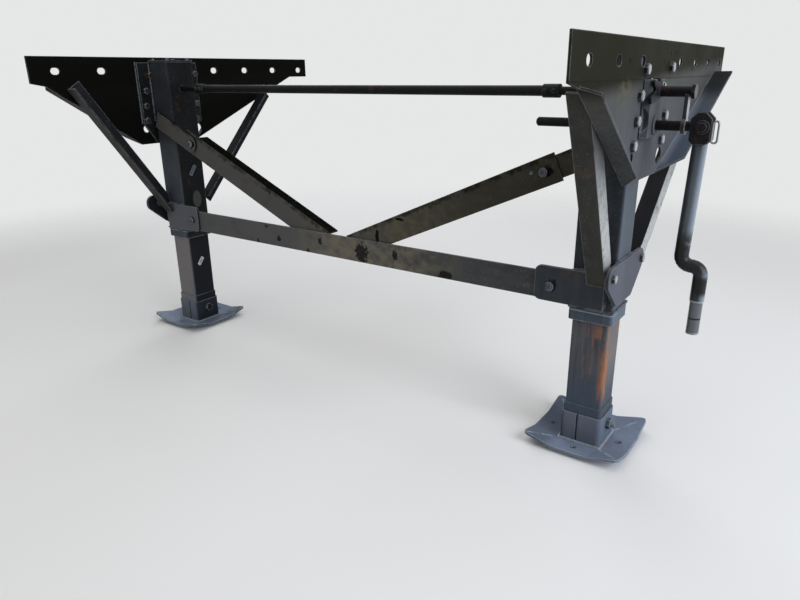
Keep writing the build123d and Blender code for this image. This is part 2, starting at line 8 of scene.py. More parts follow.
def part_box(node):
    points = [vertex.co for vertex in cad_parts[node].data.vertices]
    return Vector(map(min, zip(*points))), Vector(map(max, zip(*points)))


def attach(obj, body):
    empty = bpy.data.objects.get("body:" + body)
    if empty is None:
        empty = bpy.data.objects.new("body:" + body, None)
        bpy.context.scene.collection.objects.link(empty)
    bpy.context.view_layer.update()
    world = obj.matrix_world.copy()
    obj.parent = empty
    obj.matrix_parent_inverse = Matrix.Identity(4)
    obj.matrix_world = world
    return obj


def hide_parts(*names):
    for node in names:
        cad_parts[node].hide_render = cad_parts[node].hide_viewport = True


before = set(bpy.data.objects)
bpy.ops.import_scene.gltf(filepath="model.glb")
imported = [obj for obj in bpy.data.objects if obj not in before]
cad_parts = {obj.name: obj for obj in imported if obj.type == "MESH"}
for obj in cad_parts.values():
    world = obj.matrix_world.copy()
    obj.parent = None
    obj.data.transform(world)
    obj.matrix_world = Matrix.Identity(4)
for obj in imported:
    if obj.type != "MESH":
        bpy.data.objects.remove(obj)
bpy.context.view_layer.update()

# Landing gear of a semi trailer: paint, wear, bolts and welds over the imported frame.
# Metres; +X outboard on the road side, +Y to the rear, +Z up.

print("frame loaded:", len(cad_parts), "nodes")


def linear(hexColour):  # sRGB hex to the linear RGBA that sockets take
    parts = [int(hexColour[i:i + 2], 16) / 255 for i in (1, 3, 5)]
    return [c / 12.92 if c <= 0.04045 else ((c + 0.055) / 1.055) ** 2.4 for c in parts] + [1.0]


def addNode(tree, kind, inputs=None, **settings):
    node = tree.nodes.new(kind)
    for setting, value in settings.items():
        setattr(node, setting, value)
    for socket, value in (inputs or {}).items():
        if isinstance(value, bpy.types.NodeSocket):
            tree.links.new(value, node.inputs[socket])
        else:
            node.inputs[socket].default_value = value
    return node


def newTree(owner):  # an empty shader tree on a material or the world
    owner.use_nodes = True
    owner.node_tree.nodes.clear()
    return owner.node_tree


# Places read from the frame
tubeLow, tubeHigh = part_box("outer_tube_road")
curbLow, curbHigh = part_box("outer_tube_curb")
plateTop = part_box("hanger_plate_road")[1].z
backLow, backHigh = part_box("back_plate_road")
bracketLow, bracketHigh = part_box("lower_bracket_road")
gussetLow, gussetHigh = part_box("brace_gusset_road")
collarLow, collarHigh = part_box("leg_collar_road")
coverLow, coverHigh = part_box("gearbox_cover")
headLow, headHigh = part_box("handle_head")
gripLow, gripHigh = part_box("handle_grip")
loopLow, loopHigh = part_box("stow_loop")
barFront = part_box("cross_bar")[0].y
roadX = (tubeLow.x + tubeHigh.x) / 2
curbX = (curbLow.x + curbHigh.x) / 2
middleX = (roadX + curbX) / 2
halfSpan = roadX - middleX
plateFace = backHigh.x + 0.006  # the plate is 6 mm thick
drain = (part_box("shoe_pad_road")[1].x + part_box("shoe_socket_road")[1].x) / 2 - roadX  # drain holes from the leg's axis
outboard, inboard = Vector((1, 0, 0)), Vector((-1, 0, 0))
forward, rearward, upward = Vector((0, -1, 0)), Vector((0, 1, 0)), Vector((0, 0, 1))
smooth = "SMOOTHSTEP"  # a fade that eases at both ends
dentDepth = 0.0012  # of the grain
mottle = {"film": 75, "dust": 60, "specks": 7, "rust": 55, "pits": 9, "rubbed": 34}  # sizes of the patterns in mm


def mirrored(point):  # the same place on the curb side
    return Vector((2 * middleX - point[0], point[1], point[2]))


def patches(tree, place, size, low, high, stretch=(1, 1, 1), detail=4):  # clouds of a size in mm
    stretched = addNode(tree, "ShaderNodeMapping", {"Vector": place, "Scale": stretch}).outputs[0]
    noise = addNode(tree, "ShaderNodeTexNoise", {"Vector": stretched, "Scale": 1000 / size, "Detail": detail})
    ramp = {"Value": noise.outputs["Fac"], "From Min": low, "From Max": high}
    return addNode(tree, "ShaderNodeMapRange", ramp, interpolation_type=smooth).outputs[0]


def along(tree, vector, direction, start, end, most=1.0, curve="LINEAR"):  # nothing at start, most at end
    reach = addNode(tree, "ShaderNodeVectorMath", {0: vector, 1: direction}, operation="DOT_PRODUCT")
    fade = {"Value": reach.outputs["Value"], "From Min": start, "From Max": end, "To Max": most}
    return addNode(tree, "ShaderNodeMapRange", fade, interpolation_type=curve).outputs[0]


def facing(tree, place, direction, start, end, most=1.0):  # the same over how far a face turns to a direction
    return along(tree, addNode(tree, "ShaderNodeTexCoord").outputs["Normal"], direction, start, end, most)


def facingOut(tree, place, start, end, most=1.0):  # 1 looks straight outboard and -1 inboard, on both sides
    turn = addNode(tree, "ShaderNodeTexCoord").outputs["Normal"]
    turn = addNode(tree, "ShaderNodeSeparateXYZ", {0: turn}).outputs["X"]
    side = addNode(tree, "ShaderNodeSeparateXYZ", {0: place}).outputs["X"]
    side = addNode(tree, "ShaderNodeMath", {0: side, 1: middleX}, operation="SUBTRACT").outputs[0]
    side = addNode(tree, "ShaderNodeMath", {0: side}, operation="SIGN").outputs[0]
    turn = addNode(tree, "ShaderNodeMath", {0: turn, 1: side}, operation="MULTIPLY").outputs[0]
    fade = {"Value": turn, "From Min": start, "From Max": end, "To Max": most}
    return addNode(tree, "ShaderNodeMapRange", fade).outputs[0]


def spots(tree, place, rows, curve="LINEAR"):  # rows of middle, stretch, reach, core, strength; the strongest shows
    strongest = 0.0
    for middle, stretch, reach, core, strength in rows:
        away = addNode(tree, "ShaderNodeVectorMath", {0: place, 1: middle}, operation="SUBTRACT").outputs[0]
        away = addNode(tree, "ShaderNodeVectorMath", {0: away, 1: stretch}, operation="MULTIPLY").outputs[0]
        away = addNode(tree, "ShaderNodeVectorMath", {0: away}, operation="LENGTH").outputs["Value"]
        spot = {"Value": away, "From Min": reach, "From Max": core, "To Max": strength}
        spot = addNode(tree, "ShaderNodeMapRange", spot, interpolation_type=curve).outputs[0]
        strongest = addNode(tree, "ShaderNodeMath", {0: spot, 1: strongest}, operation="MAXIMUM").outputs[0]
    return strongest


def thinned(tree, place, least):  # the film and painted shade lie a little thinner here and there
    thin = {"Value": patches(tree, place, mottle["film"], 0.3, 0.75), "To Min": 1.0, "To Max": least}
    return addNode(tree, "ShaderNodeMapRange", thin).outputs[0]


# Steel under its coat of enamel, scale or zinc. To the eye it is matt and patchy: road film and painted shade on the
# faces that look forward, painted shade on those that look inboard, painted light outboard, dust on ledges, bare on
# worn edges.
def weatheredSteel(name, look, layers):
    material = bpy.data.materials.new(name)
    tree = newTree(material)
    place = addNode(tree, "ShaderNodeTexCoord").outputs["Object"]
    soft = addNode(tree, "ShaderNodeBevel", {"Radius": look["edge"] / 1000}, samples=6).outputs[0]
    clouds = patches(tree, place, look["cloud"], 0.3, 0.7)

    # dust on what looks up, and grit everywhere
    specks = {0: patches(tree, place, mottle["specks"], 0.62, 0.72, detail=2), 1: look["specks"]}
    dust = {0: facing(tree, place, upward, 0.2, 0.95, look["dust"])}
    dust[1] = patches(tree, place, mottle["dust"], 0.25, 0.65)
    dust[2] = addNode(tree, "ShaderNodeMath", specks, operation="MULTIPLY").outputs[0]
    dust = addNode(tree, "ShaderNodeMath", dust, operation="MULTIPLY_ADD", use_clamp=True).outputs[0]

    # bare where the rounded normal leaves the face's own
    rubbed = {0: soft, 1: addNode(tree, "ShaderNodeNewGeometry").outputs["True Normal"]}
    rubbed = addNode(tree, "ShaderNodeVectorMath", rubbed, operation="DOT_PRODUCT").outputs["Value"]
    rubbed = {"Value": rubbed, "From Min": 0.985, "From Max": 0.86, "To Max": look["wear"]}
    rubbed = addNode(tree, "ShaderNodeMapRange", rubbed).outputs[0]

    coats = [  # what lies on the paint, from below up; the factors multiply
        (look["shade"], [clouds]),
        # painted light on the faces that look outboard
        (look["pale"], [(facingOut, 0.3, 0.95, look["bleach"])]),
        (look["pale"], [(patches, look["run"], 0.35, 0.7, look["along"]), look["runs"]]),
        # road film and painted shade on the faces that look forward, painted shade on those that look inboard
        (look["filmColour"], [(facing, rearward, -0.2, -0.9, look["film"]), (thinned, 0.78)]),
        (look["innerColour"], [(facingOut, -0.2, -0.9, look["inner"]), (thinned, 0.93)]),
        (look["dustColour"], [dust]),
        (look["rustColour"], [
            (patches, mottle["rust"], 0.6, 0.72), (patches, mottle["pits"], 0.4, 0.62), look["rust"]]),
        *layers,
        (look["bare"], [rubbed, (patches, mottle["rubbed"], 0.3, 0.52)]),
    ]
    colour = linear(look["paint"])
    for hexColour, factors in coats:
        share = 1.0
        for factor in factors:
            if isinstance(factor, tuple):  # a function and its values
                factor = factor[0](tree, place, *factor[1:])
            share = addNode(tree, "ShaderNodeMath", {0: factor, 1: share}, operation="MULTIPLY").outputs[0]
        colour = {0: share, 6: colour, 7: linear(hexColour)}
        colour = addNode(tree, "ShaderNodeMix", colour, data_type="RGBA").outputs[2]

    rough = {"Value": clouds, "To Min": look["rough"] - 0.06, "To Max": look["rough"] + 0.08}
    rough = addNode(tree, "ShaderNodeMapRange", rough).outputs[0]
    grain = addNode(tree, "ShaderNodeTexNoise", {"Vector": place, "Scale": 1000 / look["grain"], "Detail": 5})
    dents = {"Height": grain.outputs["Fac"], "Strength": look["bump"], "Distance": dentDepth, "Normal": soft}
    bump = addNode(tree, "ShaderNodeBump", dents).outputs[0]
    shader = {
        "Base Color": colour, "Roughness": rough, "Metallic": look["metal"], "Specular IOR Level": look["gloss"],
        "Normal": bump}
    shader = addNode(tree, "ShaderNodeBsdfPrincipled", shader)
    addNode(tree, "ShaderNodeOutputMaterial", {0: shader.outputs[0]})
    return material


rustRows = (  # on the road leg's slide: x from its axis, y, height, half length, reach, strength
    (0.052, -0.040, 0.240, 0.100, 0.025, 1.0), (0.030, -0.052, 0.366, 0.026, 0.022, 0.5),
    (-0.004, -0.052, 0.366, 0.028, 0.005, 0.45), (-0.008, -0.052, 0.250, 0.045, 0.005, 0.4),
    (0.052, 0.040, 0.362, 0.026, 0.012, 0.8), (0.052, -0.046, 0.345, 0.060, 0.009, 0.5),
    (0.012, -0.052, 0.300, 0.090, 0.005, 0.3),
)


def rustRuns(tree, place):  # the strongest of the runs and spots
    rusty = 0.0
    for x, y, height, half, reach, strength in rustRows:
        run = {0: spots(tree, place, [((roadX + x, y, 0), (1, 1, 0), reach, 0.3 * reach, strength)], smooth)}
        run[1] = spots(tree, place, [((0, 0, height), upward, half, 0.6 * half, 1.0)])
        run = addNode(tree, "ShaderNodeMath", run, operation="MULTIPLY").outputs[0]
        rusty = addNode(tree, "ShaderNodeMath", {0: run, 1: rusty}, operation="MAXIMUM").outputs[0]
    return rusty


oilShadowRows = (  # dark spots on the bar, its brackets and the diagonals, the last four painted shadow beside bolts: x, height, half width, half height
    (-0.800, 0.472, 0.030, 0.036), (-0.660, 0.484, 0.011, 0.019), (-0.735, 0.540, 0.009, 0.026),
    (-0.466, 0.448, 0.026, 0.020), (-1.196, 0.469, 0.010, 0.014), (-0.990, 0.488, 0.009, 0.015),
    (-1.310, 0.444, 0.008, 0.011), (-0.645, 0.606, 0.022, 0.005), (-0.108, 0.486, 0.017, 0.017),
    (-0.151, 0.797, 0.018, 0.018), (-1.689, 0.484, 0.016, 0.016), (-1.646, 0.794, 0.016, 0.016),
)


def raggedOilShadow(tree, place):  # black spots with torn rims: oil, and painted shadow beside bolts
    rows = [((x, 0, z), (1 / wide, 0, 1 / high), 1.7, 0.3, 1.0) for x, z, wide, high in oilShadowRows]
    torn = {0: patches(tree, place, 11, 0.2, 0.8), 1: 0.9, 2: spots(tree, place, rows, smooth)}
    torn = addNode(tree, "ShaderNodeMath", torn, operation="MULTIPLY_ADD").outputs[0]
    dark = {"Value": torn, "From Min": 0.95, "From Max": 1.2, "To Max": 0.95}
    return addNode(tree, "ShaderNodeMapRange", dark).outputs[0]


def folded(tree, place, *shifts):  # counted from each plane in turn, without the sign
    for shift in shifts:
        place = addNode(tree, "ShaderNodeVectorMath", {0: place, 1: (shift, 0, 0)}, operation="SUBTRACT").outputs[0]
        place = addNode(tree, "ShaderNodeVectorMath", {0: place}, operation="ABSOLUTE").outputs[0]
    return place


# a diagonal's forward face: rise over run, and its upper edge's height at the middle
diagonal = {"slope": 0.443, "edge": 0.506, "grimeTo": 0.012, "fullFrom": 0.002, "ragged": 0.016}


def upperEdge(tree, place):  # grime along each diagonal's upper edge, its lower border ragged
    rise = {0: folded(tree, place, middleX), 1: (-diagonal["slope"], 0, 1)}
    rise = addNode(tree, "ShaderNodeVectorMath", rise, operation="DOT_PRODUCT").outputs["Value"]
    rise = {0: patches(tree, place, 18, 0.2, 0.8), 1: diagonal["ragged"], 2: rise}
    rise = addNode(tree, "ShaderNodeMath", rise, operation="MULTIPLY_ADD").outputs[0]
    grime = {"From Min": diagonal["edge"] - diagonal["grimeTo"], "From Max": diagonal["edge"] - diagonal["fullFrom"]}
    return addNode(tree, "ShaderNodeMapRange", {"Value": rise, **grime, "To Max": 0.7}).outputs[0]


def shoeCreases(tree, place):  # both diagonals of each shoe
    away = {0: folded(tree, place, middleX, halfSpan), 1: (1, -1, 0)}
    away = addNode(tree, "ShaderNodeVectorMath", away, operation="DOT_PRODUCT").outputs["Value"]
    away = addNode(tree, "ShaderNodeMath", {0: away}, operation="ABSOLUTE").outputs[0]
    near = {"Value": away, "From Min": 0.008, "From Max": 0.001, "To Max": 0.85}
    return addNode(tree, "ShaderNodeMapRange", near).outputs[0]


# Where each layer of dirt, wear, painted light and painted shade lies, as factors that multiply: a function and its
# values

# the strip over the fold keeps its brown film, lower at the front
roadStrip = [(along, (0, -0.06, 1), plateTop - 0.115, plateTop - 0.075, 0.96, smooth)]
# painted shade of a faint groove along the fold under the strip
foldGrooveShade = [(spots, [((0, 0, plateTop - 0.091), upward, 0.0026, 0.001, 0.45)], smooth)]
# a rusty yellow blotch ahead of the gearbox
blotch = [
    (spots, [((plateFace, -0.198, 1.0), (1, 0.6, 1), 0.042, 0.015, 0.45)], smooth),
    (patches, 16, 0.4, 0.6, (1, 0.5, 1))]
# painted shade standing in for small open holes along the strip, as (y, z)
holes = ((-0.183, 1.070), (0.102, 1.070), (0.160, 1.090), (0.212, 1.092), (0.416, 1.051))
holeShadeSpots = [(spots, [((0, y, z), (0, 1, 1), 0.0062, 0.0050, 1.0) for y, z in holes])]
# painted blue-grey skylight on the rear flange, which looks up
skyLitFlange = [(facing, upward, 0.3, 0.5, 0.8), (along, rearward, 0.15, 0.19)]
# painted highlight along the bend into that flange
bend = plateFace - middleX
foldHighlight = [(spots, [((middleX, 0, 0), outboard, bend + 0.026, bend, 0.85)], smooth), *skyLitFlange]
# painted shadow, black, over its upper part
flangeShade = [(along, upward, 0.95, 1.0, 1.0, smooth), *skyLitFlange]
# browner towards the strip
upperBrown = [(along, upward, plateTop - 0.23, plateTop - 0.1, 0.6, smooth)]
# painted shade, black, on the rear braces' sheltered faces
rearShade = [(facingOut, 0.7, 0.4, 0.93), (along, rearward, 0.06, 0.08)]
# painted shade, black, on the faces that look inboard
inboardShadeBlack = [(facingOut, -0.4, -0.9, 0.97)]
# machined ends that stand clear of the gear are left bare
bareEnd = [(facingOut, 0.9, 0.98, 0.7), (along, outboard, 0.14, 0.15)]
# painted shade on the inboard half of each shoe
shoeShade = [(spots, [((middleX, 0, 0), outboard, halfSpan - 0.04, halfSpan - 0.09, 0.55)], smooth)]
# near black on what looks up
blackTop = [(facing, upward, 0.3, 0.6, 0.92)]
# dirt and painted shade round and in the shoe's four drain holes
drains = [(axisX + x, y, 0) for axisX in (roadX, curbX) for x, y in ((drain, 0), (-drain, 0), (0, drain), (0, -drain))]
drainDirtShade = [(spots, [(hole, (1, 1, 0), 0.0105, 0.0075, 0.9) for hole in drains])]
# runs and spots of orange rust, streaked
tubeRust = [(rustRuns,), (patches, 7, 0.3, 0.62, (1, 1, 0.14))]
# pale line round the collar where its lip is welded
lip = (0, 0, collarHigh.z - 0.24 * (collarHigh.z - collarLow.z))
collarLine = [(spots, [(lip, upward, 0.0024, 0.001, 0.45)]), (patches, 45, 0.3, 0.5)]
# painted sunlight on the curb side's forward faces, with dried pale film
curbSunDust = [(facing, rearward, -0.3, -0.8, 0.75), (along, outboard, roadX - 0.4, middleX), (patches, 70, 0.05, 0.5)]
# the curb leg's forward face is paler low down, with painted sunlight
curbLowSun = [(along, upward, 0.85, 0.66), *curbSunDust]
# black grime, broken
topEdge = [(upperEdge,), (patches, 32, 0.35, 0.6)]
# oil that dripped, and painted shadow beside the bolts
oilAndShadowSpots = [(raggedOilShadow,)]
# yellow-grey mud, dried in patches where bar and diagonals meet
dryMud = [(spots, [((-0.77, 0, 0), outboard, 0.42, 0.12, 0.75)], smooth), (patches, 26, 0.25, 0.7)]
# the tube's foot is bluer than its upper part
footGrey = [(along, upward, 0.30, 0.15, 0.8, smooth)]
# paint rubbed pale along the shoe's diagonal creases
creases = [(shoeCreases,), (patches, 22, 0.42, 0.62)]
# pale oval on the curb leg's inboard face, half again as tall as wide
farPatch = [(spots, [((curbHigh.x, 0.009, 0.552), (1, 1, 0.6), 0.024, 0.018, 0.38)], smooth)]
# painted light, near white, on the braces' outboard legs low down
braceFootLight = [
    (facingOut, 0.6, 0.95), (along, upward, 0.93, 0.66, 0.95, smooth),
    (patches, 40, 0.15, 0.55), (patches, 9, 0.15, 0.5)]
# brown-black grime above the handle's bends and between them
grimeRows = ((0.612, 0.065, 0.92), (0.530, 0.034, 0.95))  # height, reach, strength
grimy = [((0, 0, z), upward, reach, 0.45 * reach, strength) for z, reach, strength in grimeRows]
handleGrime = [(spots, grimy, smooth), (patches, 30, 0.15, 0.5)]
# painted shade of a groove round the grip, halfway down
gripGrooveShade = [(spots, [((0, 0, gripHigh.z - 0.53 * (gripHigh.z - gripLow.z)), upward, 0.0028, 0.0016, 1.0)])]

print("materials")
chassis = {  # shares from 0 to 1; run, cloud, edge and grain in mm
    # shares and colours of the painted light outboard, and of the road film and painted shade forward and inboard, are
    # set here
    "paint": "#4b4f54", "shade": "#40444a", "pale": "#66727d", "bleach": 0.6, "runs": 0.25, "run": 14,
    "along": (1, 1, 0.08), "cloud": 130, "film": 0.85, "inner": 0.95, "filmColour": "#1f2328", "innerColour": "#0a0b0c",
    "dust": 0.3, "dustColour": "#7d7a74", "specks": 0.15, "rust": 0.2, "rustColour": "#7a4a2e", "wear": 0.75,
    "bare": "#8f9498", "edge": 4, "rough": 0.58, "grain": 5, "bump": 0.25, "metal": 0.0, "gloss": 0.1,
}
looks = {  # the material's name, what it changes in the chassis enamel, and its layers from below up
    # chassis enamel on rolled tube and plate: charcoal, matt, with painted light outboard and painted shade inboard
    "tubeEnamel": (
        "chassisEnamel", {"inner": 0.99, "innerColour": "#050607"}, ("#4a4f57", curbLowSun), ("#6d6f6c", farPatch)),
    # bracket plate under the same enamel, its film with painted shade, and painted sunlight on the curb side
    "bracketEnamel": (
        "bracketEnamel", {"film": 0.75, "filmColour": "#292d32"}, ("#5f6067", curbSunDust), ("#131315", oilAndShadowSpots)),
    # the same enamel on wide plate, rain-streaked, a flat mid grey with painted light outboard and painted shade
    # forward and inboard
    "plateEnamel": ("plateEnamel", {
        "paint": "#535557", "shade": "#4a4c4e", "pale": "#686b6f", "bleach": 0.4, "runs": 0.45, "run": 9, "cloud": 160,
        "film": 1.0, "inner": 0.99, "filmColour": "#25261f", "innerColour": "#0b0a08", "dust": 0.12, "wear": 0.6,
        "bare": "#94979a", "gloss": 0.02},
        ("#4b5565", skyLitFlange), ("#858a95", foldHighlight), ("#50504a", upperBrown), ("#25241b", roadStrip),
        ("#0f1114", flangeShade), ("#171714", foldGrooveShade), ("#6e6650", blotch), ("#08090a", holeShadeSpots),
        ("#0b0b09", inboardShadeBlack)),
    # hot-rolled angle, brushed with thin paint: olive-grey painted shade on the faces that look forward
    "angleEnamel": ("angleEnamel", {
        "paint": "#4a4a48", "shade": "#41413f", "pale": "#686b6c", "bleach": 0.75, "runs": 0.3, "cloud": 90,
        "film": 0.85, "filmColour": "#2a2b25", "inner": 0.96, "innerColour": "#0d0e12"},
        ("#c2c4c1", braceFootLight), ("#0d0e14", rearShade)),
    # rolled bar under road film and painted shade: streaked along its length, speckled with grit
    "barEnamel": ("crossBarEnamel", {
        "paint": "#46494c", "shade": "#3c3e41", "pale": "#65645c", "runs": 0.3, "run": 30, "along": (0.2, 1, 1),
        "specks": 0.3, "film": 0.45, "filmColour": "#34363a"},
        ("#59595a", curbSunDust), ("#787260", dryMud), ("#100f0d", oilAndShadowSpots)),
    # the diagonals' bar, dirtier: brown-black along its upper edge
    "diagonalEnamel": ("diagonalEnamel", {
        "paint": "#47463f", "shade": "#3c3b35", "pale": "#5c5a4f", "runs": 0.3, "run": 30, "along": (0.2, 1, 1),
        "film": 0.5, "filmColour": "#2e2d26", "dust": 0.05, "wear": 0.4, "rough": 0.75, "gloss": 0.0},
        ("#5b5b5a", curbSunDust), ("#625d4d", dryMud), ("#12110c", topEdge), ("#0f0e0b", oilAndShadowSpots), ("#0b0b0a", blackTop)),
    # cut plate, its paint still thick: smooth and bluish
    "gussetEnamel": ("gussetEnamel", {"paint": "#565962", "shade": "#4e5059", "pale": "#646873"}),
    # sliding tube: paint scraped by the collar, streaks of thin rust run down it
    "slideEnamel": ("slideEnamel", {
        "paint": "#4f5258", "shade": "#474a4f", "pale": "#85807e", "bleach": 0.75, "runs": 0.4, "run": 11,
        "film": 0.5, "filmColour": "#353b45", "inner": 0.9, "wear": 0.3},
        ("#3f4c5b", footGrey), ("#827e7e", curbSunDust), ("#a8704c", tubeRust), ("#15181c", inboardShadeBlack)),
    # pressed plate enamelled blue-grey, scuffed by gravel down to pale primer on its creases and rims
    "shoeEnamel": ("shoeEnamel", {
        "paint": "#727e92", "shade": "#657185", "pale": "#7f8ca0", "bleach": 0.45, "runs": 0.3, "film": 0.25,
        "filmColour": "#3f4857", "inner": 0.4, "innerColour": "#2b323e", "dust": 0.35, "dustColour": "#8a94a3",
        "bare": "#bcc6ce", "wear": 0.85},
        ("#2b3442", shoeShade), ("#666e7c", curbSunDust), ("#a3aeb8", creases), ("#14161a", drainDirtShade)),
    # the same on the bent strap of the socket, greyer and less rubbed
    "socketEnamel": ("socketEnamel", {
        "paint": "#6c7381", "shade": "#626975", "pale": "#718093", "bleach": 0.6, "film": 0.35, "filmColour": "#4a505b",
        "inner": 0.95, "innerColour": "#171a20", "wear": 0.35, "bare": "#a9b3bb"}),
    # weld beads under that enamel, rubbed pale
    "beadEnamel": ("shoeBeadEnamel", {
        "paint": "#8d99a4", "shade": "#75818d", "pale": "#b3bec7", "bleach": 0.8, "film": 0.35, "inner": 0.6,
        "filmColour": "#66727f"}),
    # welded band: bluer, its upper edge worn bright by the wash of grit
    "bandEnamel": ("collarEnamel", {
        "paint": "#4c5660", "shade": "#424b55", "pale": "#73808d", "bleach": 0.7, "bare": "#b4bdc4", "wear": 0.9,
        "film": 0.5, "filmColour": "#343a42"}, ("#a9b5bf", collarLine)),
    # sand-cast cover, painted: coarse skin, even charcoal
    "castEnamel": ("castCoverEnamel", {
        "paint": "#4a4e51", "shade": "#424649", "pale": "#5c5f61", "bleach": 0.5, "grain": 3, "bump": 0.4,
        "filmColour": "#272b2f"}),
    # drawn bar under oil and dirt: nearly black, a low sheen
    "oiledBar": ("oiledBar", {
        "paint": "#141518", "shade": "#0f1012", "pale": "#1d2024", "dust": 0.1, "dustColour": "#45433e", "rough": 0.5,
        "bare": "#53575a", "filmColour": "#0d0d0f"}, ("#7d7874", bareEnd)),
    # drop-forged head: black scale going brown, pitted
    "forgedScale": ("forgedScale", {
        "paint": "#2b292d", "shade": "#222024", "pale": "#3b3635", "rust": 0.25, "wear": 0.35, "grain": 3, "bump": 0.5,
        "rough": 0.62, "dust": 0.2, "dustColour": "#5d5952", "filmColour": "#18171a"}),
    # thin-walled tube, plating worn smooth by hands: a soft sheen, painted light on its outboard side, grimy where it
    # bends
    "wornTube": ("wornTube", {
        "paint": "#2b3138", "shade": "#23282e", "pale": "#9aa6b2", "bleach": 0.95, "runs": 0.3, "run": 22, "film": 0.3,
        "filmColour": "#171a1f", "inner": 0.95, "innerColour": "#15181c", "dust": 0.5, "dustColour": "#6d7a77",
        "rough": 0.36, "metal": 0.15, "bump": 0.15, "gloss": 0.25}, ("#0d0b0a", handleGrime)),
    # loose sleeve of pressed tube, rubbed: paler than the tube, with a dark groove
    "gripSleeve": ("gripSleeve", {
        "paint": "#5f6268", "shade": "#53565b", "pale": "#7b7e84", "film": 0.3, "inner": 0.5, "filmColour": "#3f4247",
        "rough": 0.42, "metal": 0.3, "gloss": 0.4}, ("#141415", gripGrooveShade)),
    # zinc-plated fasteners, dulled: painted shade, black, ahead and painted light where they look out
    "boltZinc": ("boltZinc", {
        "paint": "#4f5255", "shade": "#3d3f41", "pale": "#b6b9bb", "bleach": 0.9, "wear": 0.9, "bare": "#b7babc",
        "film": 0.95, "filmColour": "#131317", "rough": 0.45, "metal": 0.2, "edge": 1.5, "gloss": 0.35}),
    # bright zinc wire, smooth, going grey
    "zincWire": ("zincWire", {
        "paint": "#85888b", "shade": "#6d7073", "pale": "#c3c6c8", "bleach": 0.9, "wear": 0.5, "bare": "#c9cccd",
        "rust": 0.1, "film": 0.2, "inner": 0.2, "rough": 0.38, "metal": 0.5, "edge": 1, "gloss": 0.5}),
    # enamelled tin tag: blank and white, grimy at its rim
    "blankTag": ("blankTagEnamel", {
        "paint": "#c9cbc8", "shade": "#b9bbb6", "pale": "#dcdedb", "film": 0.1, "inner": 0.1, "rust": 0.1, "dust": 0.1,
        "filmColour": "#8a8a84", "rough": 0.4, "bump": 0.05, "edge": 1}),
}
finishes = {}
for finish, (name, changes, *layers) in looks.items():
    finishes[finish] = weatheredSteel(name, {**chassis, **changes}, layers)
finishOf = {
    "hanger_plate": "plateEnamel", "front_brace": "angleEnamel", "rear_brace": "angleEnamel",
    "brace_gusset": "gussetEnamel", "cross_bar": "barEnamel", "diagonal_brace": "diagonalEnamel",
    "upper_bracket": "diagonalEnamel", "lower_bracket": "bracketEnamel", "inner_tube": "slideEnamel",
    "shoe_pad": "shoeEnamel", "shoe_socket": "socketEnamel", "shoe_bolt": "bandEnamel", "leg_collar": "bandEnamel",
    "gearbox_cover": "castEnamel", "support_arm": "oiledBar", "support_link": "boltZinc", "cross_shaft": "oiledBar",
    "crank_shaft": "oiledBar", "handle_head": "forgedScale", "handle_pin": "forgedScale", "handle_tube": "wornTube",
    "handle_grip": "gripSleeve", "stow_loop": "zincWire",
}
for name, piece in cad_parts.items():
    stem = name.removesuffix("_road").removesuffix("_curb")
    piece.data.materials.clear()
    piece.data.materials.append(finishes[finishOf.get(stem, "tubeEnamel")])


def newGroup(name, sockets):  # a Geometry Nodes tree with named inputs
    tree = bpy.data.node_groups.new(name, "GeometryNodeTree")
    tree.interface.new_socket("Geometry", in_out="INPUT", socket_type="NodeSocketGeometry")
    for label, kind, value in sockets:
        socket = tree.interface.new_socket(label, in_out="INPUT", socket_type="NodeSocket" + kind)
        if value is not None:
            socket.default_value = value
    tree.interface.new_socket("Geometry", in_out="OUTPUT", socket_type="NodeSocketGeometry")
    return tree, addNode(tree, "NodeGroupInput").outputs


def endTree(tree, geometry, material):
    real = addNode(tree, "GeometryNodeRealizeInstances", {"Geometry": geometry}).outputs[0]
    painted = addNode(tree, "GeometryNodeSetMaterial", {"Geometry": real, "Material": material}).outputs[0]
    addNode(tree, "NodeGroupOutput", {"Geometry": painted})
    return tree


def growPiece(name, body, tree, points, values, facings=None, widths=None, edges=()):
    seed = bpy.data.meshes.new(name + "Points")
    seed.from_pydata([tuple(p) for p in points], edges, [])
    if facings:
        turns = [part for way in facings for part in way]
        seed.attributes.new("facing", "FLOAT_VECTOR", "POINT").data.foreach_set("vector", turns)
    if widths:
        seed.attributes.new("across", "FLOAT", "POINT").data.foreach_set("value", widths)
    holder = bpy.data.objects.new(name + "Holder", seed)
    bpy.context.scene.collection.objects.link(holder)
    modifier = holder.modifiers.new(name, "NODES")
    modifier.node_group = tree
    for item in tree.interface.items_tree:
        if item.item_type == "SOCKET" and item.in_out == "INPUT" and item.name in values:
            modifier[item.identifier] = values[item.name]
    grown = holder.evaluated_get(bpy.context.evaluated_depsgraph_get())
    mesh = bpy.data.meshes.new_from_object(grown)
    mesh.name = name
    bpy.data.objects.remove(holder)
    piece = bpy.data.objects.new(name, mesh)
    bpy.context.scene.collection.objects.link(piece)
    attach(piece, body)
    print("  ", name, len(mesh.polygons), "faces on", body)
    return piece


def turnedOut(tree):  # +Z turned to each point's facing
    toward = addNode(tree, "GeometryNodeInputNamedAttribute", {"Name": "facing"}, data_type="FLOAT_VECTOR").outputs[0]
    return addNode(tree, "FunctionNodeAlignRotationToVector", {"Vector": toward}, axis="Z").outputs[0]


